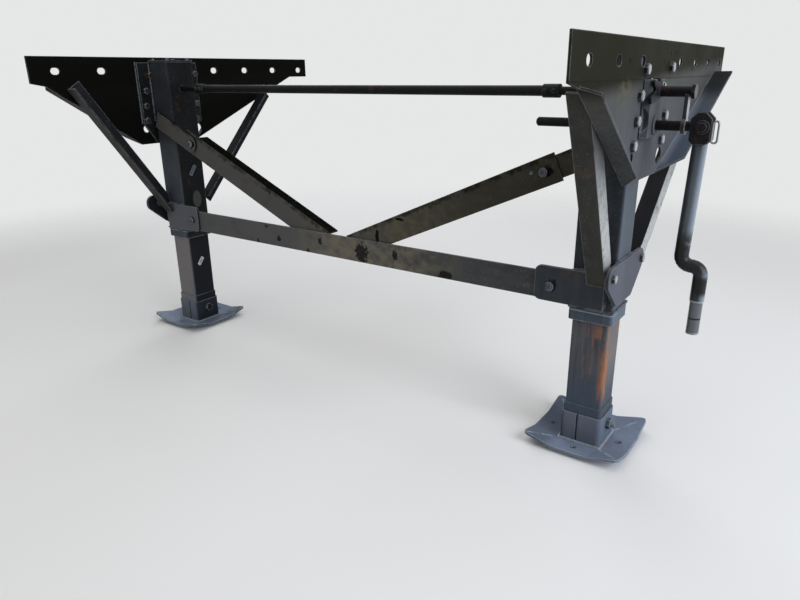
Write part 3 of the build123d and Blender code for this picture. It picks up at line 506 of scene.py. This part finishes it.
def boltTree():  # a head one across, with a washer under it, scaled at each point
    tree, given = newGroup("boltHeads", [
        ("Sides", "Int", 6), ("Corner", "Float", 0.577), ("Head height", "Float", 0.42), ("Crown", "Float", 0.1),
        ("Crown share", "Float", 0.84), ("Washer radius", "Float", 0.72), ("Washer thickness", "Float", 0.11),
        ("Seed", "Int", 3), ("Steel", "Material", None)])
    washer = {"Vertices": 28, "Radius": given["Washer radius"], "Depth": given["Washer thickness"]}
    washer = addNode(tree, "GeometryNodeMeshCylinder", washer).outputs["Mesh"]
    head = {"Vertices": given["Sides"], "Radius": given["Corner"], "Depth": given["Head height"]}
    head = addNode(tree, "GeometryNodeMeshCylinder", head).outputs["Mesh"]
    lift = addNode(tree, "ShaderNodeMath", {0: given["Head height"], 1: 0.5}, operation="MULTIPLY").outputs[0]
    lift = addNode(tree, "ShaderNodeCombineXYZ", {"Z": lift}).outputs[0]
    head = addNode(tree, "GeometryNodeTransform", {"Geometry": head, "Translation": lift}).outputs[0]
    top = {0: given["Corner"], 1: given["Crown share"]}
    top = addNode(tree, "ShaderNodeMath", top, operation="MULTIPLY").outputs[0]
    crown = {"Vertices": given["Sides"], "Radius Top": top, "Radius Bottom": given["Corner"], "Depth": given["Crown"]}
    crown = addNode(tree, "GeometryNodeMeshCone", crown).outputs["Mesh"]
    lift = addNode(tree, "ShaderNodeCombineXYZ", {"Z": given["Head height"]}).outputs[0]
    crown = addNode(tree, "GeometryNodeTransform", {"Geometry": crown, "Translation": lift}).outputs[0]
    bolt = addNode(tree, "GeometryNodeJoinGeometry").inputs[0]
    for part in (washer, head, crown):
        tree.links.new(part, bolt)
    across = addNode(tree, "GeometryNodeInputNamedAttribute", {"Name": "across"}, data_type="FLOAT").outputs[0]
    twist = {"Seed": given["Seed"], 2: 0.0, 3: math.pi / 3}
    twist = addNode(tree, "FunctionNodeRandomValue", twist, data_type="FLOAT").outputs[1]
    twist = addNode(tree, "FunctionNodeAxisAngleToRotation", {"Axis": (0, 0, 1), "Angle": twist}).outputs[0]
    turned = {"Rotation": turnedOut(tree), "Rotate By": twist}
    turned = addNode(tree, "FunctionNodeRotateRotation", turned, rotation_space="LOCAL").outputs[0]
    placed = {"Points": given["Geometry"], "Instance": bolt.node.outputs[0], "Rotation": turned, "Scale": across}
    placed = addNode(tree, "GeometryNodeInstanceOnPoints", placed).outputs[0]
    return endTree(tree, placed, given["Steel"])


def threadTree():  # a bolt's end: ridges a pitch apart over a core
    tree, given = newGroup("threadEnds", [
        ("Radius", "Float", 0.009), ("Pitch", "Float", 0.0025), ("Ridges", "Int", 5), ("Steel", "Material", None)])
    root = addNode(tree, "ShaderNodeMath", {0: given["Radius"], 1: 0.84}, operation="MULTIPLY").outputs[0]
    ridge = {"Vertices": 20, "Radius Top": root, "Radius Bottom": given["Radius"], "Depth": given["Pitch"]}
    ridge = addNode(tree, "GeometryNodeMeshCone", ridge).outputs["Mesh"]
    step = addNode(tree, "ShaderNodeCombineXYZ", {"Z": given["Pitch"]}).outputs[0]
    line = addNode(tree, "GeometryNodeMeshLine", {"Count": given["Ridges"], "Offset": step}).outputs[0]
    stack = addNode(tree, "GeometryNodeInstanceOnPoints", {"Points": line, "Instance": ridge}).outputs[0]
    stack = addNode(tree, "GeometryNodeRealizeInstances", {"Geometry": stack}).outputs[0]
    placed = {"Points": given["Geometry"], "Instance": stack, "Rotation": turnedOut(tree)}
    placed = addNode(tree, "GeometryNodeInstanceOnPoints", placed).outputs[0]
    return endTree(tree, placed, given["Steel"])


def weldTree():  # overlapping beads along a seam
    tree, given = newGroup("weldBeads", [
        ("Pitch", "Float", 0.0045), ("Radius", "Float", 0.004), ("Seed", "Int", 5), ("Paint", "Material", None)])
    seam = addNode(tree, "GeometryNodeMeshToCurve", {"Mesh": given["Geometry"]}).outputs[0]
    seam = {"Curve": seam, "Length": given["Pitch"]}
    seam = addNode(tree, "GeometryNodeResampleCurve", seam, mode="LENGTH").outputs[0]
    bead = {"Radius": given["Radius"], "Segments": 8, "Rings": 5}
    bead = addNode(tree, "GeometryNodeMeshUVSphere", bead).outputs["Mesh"]
    tangent = addNode(tree, "GeometryNodeInputTangent").outputs[0]
    turned = addNode(tree, "FunctionNodeAlignRotationToVector", {"Vector": tangent}, axis="X").outputs[0]
    size = {0: (0.8, 0.85, 0.85), 1: (1.1, 1.15, 1.15), "Seed": given["Seed"]}
    size = addNode(tree, "FunctionNodeRandomValue", size, data_type="FLOAT_VECTOR").outputs[0]
    placed = {"Points": seam, "Instance": bead, "Rotation": turned, "Scale": size}
    placed = addNode(tree, "GeometryNodeInstanceOnPoints", placed).outputs[0]
    rounded = addNode(tree, "GeometryNodeRealizeInstances", {"Geometry": placed}).outputs[0]
    rounded = addNode(tree, "GeometryNodeSetShadeSmooth", {"Geometry": rounded}).outputs[0]
    return endTree(tree, rounded, given["Paint"])


def wireTree():  # round wire along a closed or open line, its corners bent
    tree, given = newGroup("bentWire", [
        ("Wire radius", "Float", 0.0025), ("Bend radius", "Float", 0.006), ("Steel", "Material", None)])
    line = addNode(tree, "GeometryNodeMeshToCurve", {"Mesh": given["Geometry"]}).outputs[0]
    bent = {"Curve": line, "Radius": given["Bend radius"], "Count": 8}
    bent = addNode(tree, "GeometryNodeFilletCurve", bent, mode="POLY").outputs[0]
    profile = {"Resolution": 14, "Radius": given["Wire radius"]}
    profile = addNode(tree, "GeometryNodeCurvePrimitiveCircle", profile).outputs["Curve"]
    wire = {"Curve": bent, "Profile Curve": profile, "Fill Caps": True}
    wire = addNode(tree, "GeometryNodeCurveToMesh", wire).outputs[0]
    wire = addNode(tree, "GeometryNodeSetShadeSmooth", {"Geometry": wire}).outputs[0]
    return endTree(tree, wire, given["Steel"])


print("bolts")
boltHeads = boltTree()


def growHeads(name, body, finish, heads, values):  # heads as place, facing, width over the flats
    places, facings, widths = zip(*heads)
    growPiece(name, body, boltHeads, places, {"Steel": finishes[finish], **values}, facings, widths)


noWasher = {"Washer radius": 0.45, "Washer thickness": 0.02}  # it stays inside the head
roundHead = {**noWasher, "Corner": 0.5}
plateBolts = {  # places as (y, z)
    "front": ((-0.088, 0.992), (-0.096, 0.934), (-0.105, 0.877)), "rear": ((0.152, 0.935), (0.143, 0.873)),
    "top": ((-0.060, 1.051), (0.168, 1.056)), "flats": 0.024, "edge": 0.014,
}
gussetBolts = {"frontY": -0.122, "rearY": 0.122, "below": 0.028, "flats": 0.021}
places = plateBolts["front"] + plateBolts["rear"] + plateBolts["top"]
heads = [(Vector((plateFace, y, z)), outboard, plateBolts["flats"]) for y, z in places]
for y, z in places:  # their inboard ends stay on the back plate
    y = min(max(y, backLow.y + plateBolts["edge"]), backHigh.y - plateBolts["edge"])
    heads.append((Vector((backLow.x, y, z)), inboard, plateBolts["flats"]))
for y in (gussetBolts["frontY"], gussetBolts["rearY"]):
    heads.append((Vector((gussetHigh.x, y, gussetHigh.z - gussetBolts["below"])), outboard, gussetBolts["flats"]))
heads += [(mirrored(place), Vector((-way.x, way.y, way.z)), flats) for place, way, flats in heads]
growHeads("frameBolts", "frame_gear", "boltZinc", heads, {**noWasher, "Head height": 0.38})

sunk = 0.0005  # how deep a head sits in its face
bracketBolt = (-0.118, bracketLow.y, 0.480)
roundHeads = {  # finish, then place and width
    "bracketBolts": ("bandEnamel", (bracketBolt, 0.027), (mirrored(bracketBolt), 0.027)),
    "barBolts": ("forgedScale", ((-1.257, barFront - sunk, 0.511), 0.014), ((-1.047, barFront - sunk, 0.446), 0.014)),
    "diagonalBolts": (
        "bandEnamel", ((-0.163, tubeLow.y - sunk, 0.792), 0.025),
        (mirrored((-0.160, tubeLow.y - 0.0102, 0.792)), 0.025), ((-0.198, tubeLow.y - sunk, 0.788), 0.011)),
}
domed = {**roundHead, "Sides": 24, "Head height": 0.16, "Crown": 0.14, "Crown share": 0.62}
for name, (finish, *heads) in roundHeads.items():
    heads = [(place, forward, width) for place, width in heads]
    growHeads(name, "frame_gear", finish, heads, domed)

screws = {  # distances from the cover's and the caps' edges
    "front": 0.022, "rear": 0.026, "foot": 0.016, "top": 0.014, "under": 0.006, "cap": 0.016, "flats": 0.011}
ys = (coverLow.y + screws["front"], coverHigh.y - screws["rear"])
zs = (coverLow.z + screws["foot"], coverHigh.z - screws["top"])
corners = [(y, z) for y in ys for z in zs][1:]  # low at the front there is none
heads = [(Vector((coverHigh.x - screws["under"], y, z)), outboard, screws["flats"]) for y, z in corners]
for side in ("road", "curb"):
    low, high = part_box("top_cap_" + side)
    for x in (low.x + screws["cap"], high.x - screws["cap"]):
        for y in (low.y + screws["cap"], high.y - screws["cap"]):
            heads.append((Vector((x, y, high.z - 0.0001)), upward, screws["flats"]))
growHeads("smallScrews", "frame_gear", "boltZinc", heads, {})

coupling = {"radius": 0.018, "fromEnd": 0.178, "apart": 0.024, "flats": 0.010}
shaftLow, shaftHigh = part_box("cross_shaft")
shaftZ = (shaftLow.z + shaftHigh.z) / 2
pinned = [-coupling["fromEnd"] + step * coupling["apart"] / 2 for step in (-1, 1)]
pinned += [2 * middleX - x for x in pinned]
heads = []
for x in pinned:
    for side in (-1, 1):
        place = Vector((x, side * (coupling["radius"] - sunk), shaftZ))
        heads.append((place, Vector((0, side, 0)), coupling["flats"]))
growHeads("couplingBolts", "shaft", "oiledBar", heads, {"Head height": 0.6})

pinLow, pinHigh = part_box("handle_pin")
pinX, pinZ = (pinLow.x + pinHigh.x) / 2, (pinLow.z + pinHigh.z) / 2
pinWasher = {**roundHead, "Sides": 32, "Head height": 0.05, "Crown": 0.02, "Crown share": 0.95}
washerWide = 0.034
heads = [((pinX, headLow.y, pinZ), forward, washerWide), ((pinX, headHigh.y, pinZ), -forward, washerWide)]
growHeads("pinWashers", "handle", "forgedScale", heads, pinWasher)

gripRing = {**roundHead, "Sides": 40, "Head height": 0.1, "Crown": 0.02, "Crown share": 0.97}
ringRows = ((gripHigh.z - 0.004, 0.0345), (gripLow.z + 0.0006, 0.0325))  # height, width
gripMiddle = ((gripLow.x + gripHigh.x) / 2, (gripLow.y + gripHigh.y) / 2)
heads = [((*gripMiddle, z), upward, width) for z, width in ringRows]
growHeads("gripRings", "handle", "zincWire", heads, gripRing)

print("threads")
threads = threadTree()
for side in ("road", "curb"):
    nutLow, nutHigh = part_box("shoe_bolt_" + side)
    way, end = (outboard, nutHigh.x) if side == "road" else (inboard, nutLow.x)
    growPiece(
        "shoeThread_" + side, "leg_" + side, threads, [(end, 0, (nutLow.z + nutHigh.z) / 2)],
        {"Steel": finishes["bandEnamel"]}, [way])

print("wire loop")
wire = {"radius": 0.0025, "bend": 0.0062}
left, right = loopLow.x + wire["radius"], loopHigh.x - wire["radius"]
foot, top = loopLow.z + wire["radius"], loopHigh.z - wire["radius"]
loopY = (loopLow.y + loopHigh.y) / 2
stowWire = growPiece(
    "stowWire", "handle", wireTree(),
    [(x, loopY, z) for x, z in ((left, foot), (right, foot), (right, top), (left, top))],
    {"Steel": finishes["zincWire"], "Wire radius": wire["radius"], "Bend radius": wire["bend"]},
    edges=[(0, 1), (1, 2), (2, 3), (3, 0)])
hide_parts("stow_loop")

print("welds")
welds = weldTree()


def ring(low, high, z, out=0.001):  # closed seam round a square tube
    left, right, front, rear = low.x - out, high.x + out, low.y - out, high.y + out
    corners = ((left, front), (right, front), (right, rear), (left, rear), (left, front))
    return [Vector((x, y, z)) for x, y in corners]


def growWelds(name, body, seams, paint, radius=0.004):
    points, edges = [], []
    for seam in seams:
        edges += [(len(points) + i, len(points) + i + 1) for i in range(len(seam) - 1)]
        points += seam
    return growPiece(name, body, welds, points, {"Paint": paint, "Radius": radius}, edges=edges)


gap = {  # of a seam from what it joins, and of its ends from the corners
    "face": 0.001, "corner": 0.002, "end": 0.003, "bracket": 0.004, "tube": 0.008, "gusset": 0.01,
    "plate": 0.082, "back": 0.09}
upright = ((backLow.z + gap["back"], tubeHigh.z), (gussetLow.z + gap["end"], gussetHigh.z - gap["end"]))
seams = [ring(tubeLow, tubeHigh, collarHigh.z)]
for y in (tubeLow.y - gap["corner"], tubeHigh.y + gap["corner"]):
    seams += [[Vector((tubeHigh.x - gap["corner"], y, z)) for z in ends] for ends in upright]
x, y = tubeHigh.x + gap["face"], tubeLow.y - gap["face"]
ends = (tubeLow.y + gap["gusset"], tubeHigh.y - gap["gusset"])
seams.append([Vector((x, end, gussetHigh.z)) for end in ends])
ends = (bracketLow.z + gap["bracket"], bracketHigh.z - gap["bracket"])
seams.append([Vector((bracketHigh.x, y, z)) for z in ends])
ends = (tubeLow.x + gap["tube"], bracketHigh.x - gap["bracket"])
seams.append([Vector((x, y, bracketHigh.z)) for x in ends])
for y in (backLow.y - gap["face"], backHigh.y + gap["face"]):
    seams.append([Vector((backHigh.x, y, z)) for z in (backLow.z + gap["plate"], tubeHigh.z)])
seams += [[mirrored(p) for p in seam] for seam in seams]
growWelds("frameWelds", "frame_gear", seams, finishes["tubeEnamel"])
shoeWeld = {"lift": 0.001, "out": 0.002, "radius": 0.0055}
for side in ("road", "curb"):
    footLow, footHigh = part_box("shoe_socket_" + side)
    seam = ring(footLow, footHigh, footLow.z + shoeWeld["lift"], shoeWeld["out"])
    growWelds("shoeWelds_" + side, "leg_" + side, [seam], finishes["beadEnamel"], shoeWeld["radius"])

print("tab and tag")
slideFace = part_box("inner_tube_curb")[1].x - 0.003
flatPieces = {  # thin cut plates on the curb leg: wide along Y, thick along X, the hole's middle under a rim
    "curbTab": {"middle": (curbHigh.x, 0.001, 0.674), "wide": 0.015, "high": 0.046, "thick": 0.004, "tilt": -35,
                "hole": (0.003, 0.003), "rim": 0.006, "place": ("frame_gear", "gear_paint", "shoeEnamel")},
    "curbTag": {"middle": (slideFace, -0.004, 0.279), "wide": 0.017, "high": 0.040, "thick": 0.0012, "tilt": -39,
                "hole": (0.0019, 0.013), "rim": 0.006, "place": ("leg_curb", "foot_paint", "blankTag")},
}


def cutPlate(name, plate):  # rounded outline with a round or long hole
    mesh = bmesh.new()
    corner = 0.25 * plate["wide"]
    outline = []
    for sideY, sideZ, start in ((1, 1, 0), (-1, 1, 90), (-1, -1, 180), (1, -1, 270)):
        for turn in range(0, 91, 15):
            angle = math.radians(start + turn)
            y = sideY * (plate["wide"] / 2 - corner) + corner * math.cos(angle)
            z = sideZ * (plate["high"] / 2 - corner) + corner * math.sin(angle)
            outline.append((y, z))
    holeWide, holeHigh = plate["hole"]
    holeZ = plate["high"] / 2 - plate["rim"] - holeHigh
    turns = [2 * math.pi * (i + 0.5) / len(outline) for i in range(len(outline))]
    hole = [(holeWide * math.cos(a), holeZ + holeHigh * math.sin(a)) for a in turns]
    sine, cosine = math.sin(math.radians(plate["tilt"])), math.cos(math.radians(plate["tilt"]))
    rims = []
    for x in (0, plate["thick"]):
        for points in (outline, hole):
            turned = [Vector((x, y * cosine - z * sine, y * sine + z * cosine)) for y, z in points]
            rims.append([mesh.verts.new(Vector(plate["middle"]) + point) for point in turned])
    count = len(outline)
    for i in range(count):
        j = (i + 1) % count
        mesh.faces.new((rims[0][i], rims[0][j], rims[1][j], rims[1][i]))
        mesh.faces.new((rims[2][i], rims[3][i], rims[3][j], rims[2][j]))
        mesh.faces.new((rims[0][i], rims[2][i], rims[2][j], rims[0][j]))
        mesh.faces.new((rims[1][i], rims[1][j], rims[3][j], rims[3][i]))
    bmesh.ops.recalc_face_normals(mesh, faces=mesh.faces)
    data = bpy.data.meshes.new(name)
    mesh.to_mesh(data)
    mesh.free()
    piece = bpy.data.objects.new(name, data)
    bpy.context.scene.collection.objects.link(piece)
    return piece


for name, plate in flatPieces.items():
    body, slot, finish = plate["place"]
    piece = cutPlate(name, plate)
    piece.data.materials.append(finishes[finish])
    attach(piece, body)

print("studio")
camera = {
    "place": (0.540, -1.709, 1.049), "yaw": 35.7, "pitch": 19.47, "roll": -0.68,
    "focalPixels": 641.7, "imageWidth": 800, "sensor": 36}
yaw, pitch, roll = (math.radians(camera[turn]) for turn in ("yaw", "pitch", "roll"))
ahead = Vector((-math.sin(yaw) * math.cos(pitch), math.cos(yaw) * math.cos(pitch), -math.sin(pitch)))
right = Vector((math.cos(yaw), math.sin(yaw), 0))
up = right.cross(ahead)
right, up = math.cos(roll) * right + math.sin(roll) * up, math.cos(roll) * up - math.sin(roll) * right
lens = bpy.data.cameras.new("photoCamera")
lens.sensor_fit = "HORIZONTAL"
lens.sensor_width = camera["sensor"]
lens.lens = camera["sensor"] * camera["focalPixels"] / camera["imageWidth"]
lens.clip_end = 200
viewer = bpy.data.objects.new("photoCamera", lens)
viewer.matrix_world = Matrix.Translation(camera["place"]) @ Matrix((right, up, -ahead)).transposed().to_4x4()
bpy.context.scene.collection.objects.link(viewer)
bpy.context.scene.camera = viewer

lamps = {
    "sideLamp": {"place": (3.6, -0.9, 2.7), "aim": (-0.3, 0.0, 0.6), "size": 3.2, "watts": 150, "colour": "#eef3ff"},
    "frontLamp": {"place": (-1.6, -4.2, 2.2), "aim": (-0.8, 0.0, 0.5), "size": 3.0, "watts": 26, "colour": "#fff4e4"},
    "rearLamp": {"place": (-3.6, 3.4, 3.0), "aim": (-0.9, 0.2, 0.6), "size": 3.0, "watts": 60, "colour": "#f3f6ff"},
    "topLamp": {"place": (-0.9, 0.3, 5.0), "aim": (-0.9, 0.3, 0.0), "size": 6.0, "watts": 120, "colour": "#ffffff"},
}
for name, lamp in lamps.items():
    light = bpy.data.lights.new(name, "AREA")
    light.size = lamp["size"]
    light.energy = lamp["watts"]
    light.color = linear(lamp["colour"])[:3]
    holder = bpy.data.objects.new(name, light)
    holder.location = lamp["place"]
    holder.rotation_euler = (Vector(lamp["aim"]) - Vector(lamp["place"])).to_track_quat("-Z", "Y").to_euler()
    bpy.context.scene.collection.objects.link(holder)

studio = {
    "background": "#e6e7e7", "floor": "#f0f0ee", "ambient": 0.16, "fadeFrom": 2.2, "fadeTo": 4.5, "radius": 5.0,
    "sides": 64}
world = bpy.data.worlds.new("studioWorld")
bpy.context.scene.world = world
tree = newTree(world)
rays = addNode(tree, "ShaderNodeLightPath").outputs
seen = rays["Is Camera Ray"]
for ray in ("Is Glossy Ray", "Is Transmission Ray"):
    seen = addNode(tree, "ShaderNodeMath", {0: seen, 1: rays[ray]}, operation="MAXIMUM").outputs[0]
shown = addNode(tree, "ShaderNodeBackground", {"Color": linear(studio["background"]), "Strength": 1}).outputs[0]
ambient = addNode(tree, "ShaderNodeBackground", {"Color": (1, 1, 1, 1), "Strength": studio["ambient"]}).outputs[0]
mixed = addNode(tree, "ShaderNodeMixShader", {0: seen, 1: ambient, 2: shown}).outputs[0]
addNode(tree, "ShaderNodeOutputWorld", {0: mixed})

floorPaper = bpy.data.materials.new("studioFloor")  # matt paper that fades into the backdrop's colour
tree = newTree(floorPaper)
away = {0: addNode(tree, "ShaderNodeTexCoord").outputs["Object"], 1: (middleX, 0, 0)}
away = addNode(tree, "ShaderNodeVectorMath", away, operation="DISTANCE").outputs["Value"]
fade = {"Value": away, "From Min": studio["fadeFrom"], "From Max": studio["fadeTo"]}
fade = addNode(tree, "ShaderNodeMapRange", fade, interpolation_type=smooth).outputs[0]
paper = addNode(tree, "ShaderNodeBsdfPrincipled", {"Base Color": linear(studio["floor"]), "Roughness": 0.9}).outputs[0]
clear = addNode(tree, "ShaderNodeBsdfTransparent").outputs[0]
mixed = addNode(tree, "ShaderNodeMixShader", {0: fade, 1: paper, 2: clear}).outputs[0]
addNode(tree, "ShaderNodeOutputMaterial", {0: mixed})
floorMesh = bpy.data.meshes.new("studioFloor")
turns = [2 * math.pi * i / studio["sides"] for i in range(studio["sides"])]
disc = [(middleX + studio["radius"] * math.cos(a), studio["radius"] * math.sin(a), 0) for a in turns]
floorMesh.from_pydata(disc, [], [list(range(studio["sides"]))])
floorMesh.materials.append(floorPaper)
floor = bpy.data.objects.new("studioFloor", floorMesh)
bpy.context.scene.collection.objects.link(floor)
bpy.context.scene.view_settings.view_transform = "Standard"

print("finish")
